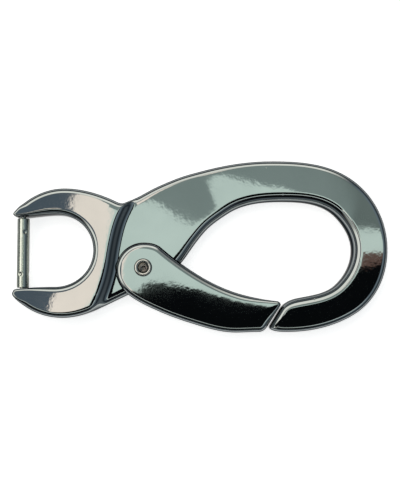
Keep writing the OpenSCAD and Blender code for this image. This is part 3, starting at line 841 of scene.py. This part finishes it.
# The room as a light tent over a dark bench: a small ceiling that the flat faces mirror, pale
# above the pivot, grey over the ring, cream over the yoke and black at the front, and round
# it a bright wall at the north-west, dusk at the east and darkness at the south.
world = bpy.data.worlds.new("light_tent")
bpy.context.scene.world = world
world.use_nodes = True
tree = world.node_tree
tree.nodes.clear()
way = add(tree, "ShaderNodeTexCoord").outputs["Generated"]
parts = add(tree, "ShaderNodeSeparateXYZ", {0: way}).outputs


def maths(operation, a, b):
    """One sum in the room's node tree."""
    return add(tree, "ShaderNodeMath", {0: a, 1: b}, operation=operation).outputs[0]


def share_over(value, low, high):
    """Rises smoothly from 0 to 1 as a value goes from low to high."""
    steps = {"Value": value, "From Min": low, "From Max": high}
    return add(tree, "ShaderNodeMapRange", steps, interpolation_type="SMOOTHSTEP").outputs["Result"]


def blend(share, below, above):
    """A colour or hex value that turns into another as the share goes from 0 to 1."""
    mix = add(tree, "ShaderNodeMix", data_type="RGBA")
    tree.links.new(share, mix.inputs[0])
    for place, colour in ((6, below), (7, above)):
        if isinstance(colour, str):
            mix.inputs[place].default_value = linear(colour)
        else:
            tree.links.new(colour, mix.inputs[place])
    return mix.outputs[2]


up = maths("MAXIMUM", parts["Z"], 0.05)
east = maths("DIVIDE", parts["X"], up)
north = maths("DIVIDE", parts["Y"], up)

# Pale up to a line that falls from the north-west and then runs level over the ring.
pale_edge = maths("MAXIMUM", maths("SUBTRACT", 0.080, maths("MULTIPLY", east, 0.68)), 0.086)
over_edge = maths("SUBTRACT", north, pale_edge)
soft = share_over(over_edge, -0.004, 0.006)
ceiling = blend(soft, "#C4D2CC", blend(share_over(east, 0.02, 0.16), "#7C8886", "#66706E"))
# Cream over the yoke, and beyond it a slate-blue wall.
west = maths("SUBTRACT", east, maths("MULTIPLY", north, 0.2))
ceiling = blend(share_over(west, -0.118, -0.104), "#F4E6DC", ceiling)
ceiling = blend(share_over(west, -0.162, -0.157), "#4E5862", ceiling)
# The front: black, with a rust-brown border under the pale stretch at the far right.
front_edge = maths("ADD", 0.028, maths("MULTIPLY", share_over(east, 0.08, 0.13), 0.019))
front = maths("SUBTRACT", north, front_edge)
brown = maths("MULTIPLY", share_over(east, 0.15, 0.17), maths("SUBTRACT", 1.0, share_over(front, 0.009, 0.013)))
ceiling = blend(brown, ceiling, "#5E4A44")
in_front = maths("SUBTRACT", 1.0, share_over(front, -0.003, 0.002))
gate_side = share_over(maths("SUBTRACT", east, maths("MULTIPLY", north, 0.9)), -0.086, -0.074)
ceiling = blend(maths("MULTIPLY", in_front, gate_side), ceiling, "#07090B")

# Round the ceiling, by height, and by how far a direction lies to the north-west or the east.
level = maths("MAXIMUM", maths("SQRT", maths("SUBTRACT", 1.0, maths("MULTIPLY", parts["Z"], parts["Z"])), 0.0), 0.01)
to_north_west = maths("DIVIDE", maths("MULTIPLY", maths("SUBTRACT", parts["Y"], parts["X"]), 0.7071), level)
to_east = maths("DIVIDE", parts["X"], level)
lit = maths("MULTIPLY", share_over(to_north_west, 0.1, 0.5), maths("MULTIPLY", share_over(parts["Z"], 0.5, 0.6), maths("SUBTRACT", 1.0, share_over(parts["Z"], 0.93, 0.95))))
dusk = blend(share_over(parts["Z"], 0.5, 0.95), "#20272D", "#66717A")
walls = blend(share_over(to_east, 0.2, 0.8), "#0C0E10", dusk)
walls = blend(share_over(parts["Z"], 0.25, 0.5), "#50565B", walls)
walls = blend(lit, walls, "#E6E4DE")
# A strip light at the front, which draws a thin pale line along the edges that face it.
to_front = maths("DIVIDE", parts["Y"], level)
strip = maths("MULTIPLY", share_over(parts["Z"], 0.885, 0.90), maths("SUBTRACT", 1.0, share_over(parts["Z"], 0.935, 0.945)))
strip = maths("MULTIPLY", strip, maths("SUBTRACT", 1.0, share_over(to_front, -0.6, -0.3)))
walls = blend(strip, walls, "#C8CFCC")
inside = share_over(parts["Z"], 0.93, 0.972)
sky = add(tree, "ShaderNodeBackground", {"Color": blend(inside, walls, ceiling), "Strength": 1.9})
add(tree, "ShaderNodeOutputWorld", {"Surface": sky.outputs[0]})

# One wide soft lamp overhead for the floor; the plating takes its reflections from the tent.
lamp_data = bpy.data.lights.new("soft_overhead", "AREA")
lamp_data.shape = "DISK"
lamp_data.size = 0.8
lamp_data.energy = 1.7
lamp = bpy.data.objects.new("soft_overhead", lamp_data)
lamp.location = (0, 0.1, 1.0)
lamp.visible_glossy = False
bpy.context.scene.collection.objects.link(lamp)

# The camera looks almost straight down on the hook.
CAMERA_AT = (-0.00008, -0.0100, 0.156)
CAMERA_AIM = (-0.00008, -0.00045, 0.0025)
camera_data = bpy.data.cameras.new("camera")
camera_data.lens = 68.0
camera_data.sensor_width = 36
camera_data.clip_start = 0.005
camera = bpy.data.objects.new("camera", camera_data)
camera.location = CAMERA_AT
aim = [a - b for a, b in zip(CAMERA_AIM, CAMERA_AT)]
camera.rotation_euler = (math.atan2(math.hypot(aim[0], aim[1]), -aim[2]), 0, math.atan2(-aim[0], aim[1]))
bpy.context.scene.collection.objects.link(camera)
bpy.context.scene.camera = camera
bpy.context.scene.view_settings.view_transform = "Standard"
